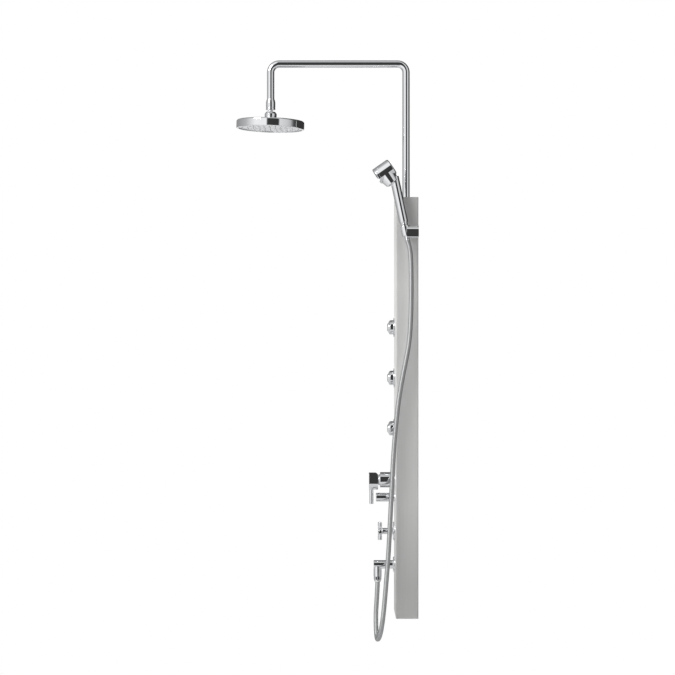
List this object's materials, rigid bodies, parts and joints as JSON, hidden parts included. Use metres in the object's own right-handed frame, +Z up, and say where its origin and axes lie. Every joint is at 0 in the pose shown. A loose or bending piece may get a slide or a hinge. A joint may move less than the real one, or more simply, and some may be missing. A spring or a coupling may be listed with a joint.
{
  "type": "rainfall shower column",
  "caption": "Wall-hung brushed steel shower panel with a rain head on a gooseneck arm, tilting body jets, lever mixer, diverter, volume valve and a hand shower on a metal hose.",
  "frame": {"origin": "centre of the upper wall bracket's slots, on the wall plane", "axes": "+Z up, +Y into the wall so the panel's face and the rain head are towards -Y, +X towards the hand shower's side"},
  "size_m": [0.2565, 0.5407, 1.728],
  "materials": {
    "panel_steel": "brushed lengthwise, satin",
    "bracket_steel": "zinc plated",
    "face_plate": "satin chrome",
    "brass": "machined",
    "white_plastic": "moulded",
    "grey_rubber": "soft silicone",
    "chrome": "mirror",
    "hose_metal": "interlocked strip, satin chrome"
  },
  "bodies": {
    "panel": {"panel_shell": "panel_steel", "top_cap": "panel_steel", "bottom_cap": "panel_steel", "upper_hanger_rail": "bracket_steel", "lower_hanger_rail": "bracket_steel", "upper_wall_bracket": "bracket_steel", "lower_wall_bracket": "bracket_steel", "riser_collar": "chrome", "riser_locknut": "brass", "riser_fitting": "brass", "gooseneck_pipe": "chrome", "ball_stem": "chrome", "jet_flange_1": "chrome", "jet_flange_2": "chrome", "jet_flange_3": "chrome", "jet_housing_1": "brass", "jet_housing_2": "brass", "jet_housing_3": "brass", "jet_locknuts": "brass", "mixer_body": "chrome", "mixer_locknut": "brass", "mixer_cartridge": "white_plastic", "cartridge_nut": "brass", "mixer_dome": "chrome", "diverter_body": "brass", "diverter_collar": "chrome", "valve_body": "brass", "valve_escutcheon": "chrome", "outlet_elbow": "chrome", "outlet_escutcheon": "chrome", "riser_supply_pipe": "brass", "jets_supply_pipe": "brass", "link_pipes": "brass", "holder_body": "chrome", "holder_cradle": "chrome", "hose_hex_nut": "chrome", "hose": "hose_metal"},
    "rain_ring": {"swivel_ring": "white_plastic"},
    "rain_head": {"swivel_nut": "chrome", "rain_head_shell": "chrome", "ball_gasket": "grey_rubber", "rain_face_plate": "face_plate", "rain_nozzles": "grey_rubber"},
    "jet_1_ring": {"jet_ring_1": "white_plastic"},
    "jet_1_ball": {"jet_ball_1": "chrome"},
    "jet_2_ring": {"jet_ring_2": "white_plastic"},
    "jet_2_ball": {"jet_ball_2": "chrome"},
    "jet_3_ring": {"jet_ring_3": "white_plastic"},
    "jet_3_ball": {"jet_ball_3": "chrome"},
    "mixer_carrier": {"cartridge_carrier": "white_plastic"},
    "mixer_lever": {"mixer_stem": "brass", "mixer_handle": "chrome"},
    "diverter": {"diverter_spindle": "bracket_steel", "diverter_knob": "chrome"},
    "volume_valve": {"valve_spindle": "bracket_steel", "cross_handle": "chrome"},
    "hose_end": {"hose_cone_nut": "chrome"},
    "handset": {"handset_handle": "chrome", "handset_head": "chrome", "handset_face": "grey_rubber"}
  },
  "joints": [
    {"name": "rain_head_fore_aft", "type": "hinge", "parent": "panel", "child": "rain_ring", "pos_m": [0, -0.438, 0.34], "axis": [1, 0, 0], "range_deg": [-13, 17]},
    {"name": "rain_head_side", "type": "hinge", "parent": "rain_ring", "child": "rain_head", "pos_m": [0, -0.438, 0.34], "axis": [0, 1, 0], "range_deg": [-15, 15]},
    {"name": "jet_1_pan", "type": "hinge", "parent": "panel", "child": "jet_1_ring", "pos_m": [0, -0.0765, -0.293], "axis": [0, 0, 1], "range_deg": [-12, 12]},
    {"name": "jet_1_tilt", "type": "hinge", "parent": "jet_1_ring", "child": "jet_1_ball", "pos_m": [0, -0.0765, -0.293], "axis": [1, 0, 0], "range_deg": [-12, 12]},
    {"name": "jet_2_pan", "type": "hinge", "parent": "panel", "child": "jet_2_ring", "pos_m": [0, -0.0765, -0.444], "axis": [0, 0, 1], "range_deg": [-12, 12]},
    {"name": "jet_2_tilt", "type": "hinge", "parent": "jet_2_ring", "child": "jet_2_ball", "pos_m": [0, -0.0765, -0.444], "axis": [1, 0, 0], "range_deg": [-12, 12]},
    {"name": "jet_3_pan", "type": "hinge", "parent": "panel", "child": "jet_3_ring", "pos_m": [0, -0.0765, -0.595], "axis": [0, 0, 1], "range_deg": [-12, 12]},
    {"name": "jet_3_tilt", "type": "hinge", "parent": "jet_3_ring", "child": "jet_3_ball", "pos_m": [0, -0.0765, -0.595], "axis": [1, 0, 0], "range_deg": [-12, 12]},
    {"name": "mixer_turn", "type": "hinge", "parent": "panel", "child": "mixer_carrier", "pos_m": [0, -0.108, -0.749], "axis": [0, 1, 0], "range_deg": [-50, 50]},
    {"name": "mixer_lift", "type": "hinge", "parent": "mixer_carrier", "child": "mixer_lever", "pos_m": [0, -0.108, -0.749], "axis": [-1, 0, 0], "range_deg": [0, 14]},
    {"name": "diverter_turn", "type": "hinge", "parent": "panel", "child": "diverter", "pos_m": [0, -0.1, -0.801], "axis": [0, 1, 0], "range_deg": [-90, 90]},
    {"name": "volume_turn", "type": "hinge", "parent": "panel", "child": "volume_valve", "pos_m": [0, -0.1, -0.902], "axis": [0, -1, 0], "range_deg": [0, 90]},
    {"name": "handset_lift", "type": "slide", "parent": "panel", "child": "hose_end", "axis": [0, -0.2079, 0.9781], "range_m": [0, 0.06]},
    {"name": "handset_spin", "type": "hinge", "parent": "hose_end", "child": "handset", "pos_m": [0.13, -0.039, -0.01], "axis": [0, -0.2079, 0.9781], "range_deg": [-90, 90]}
  ]
}
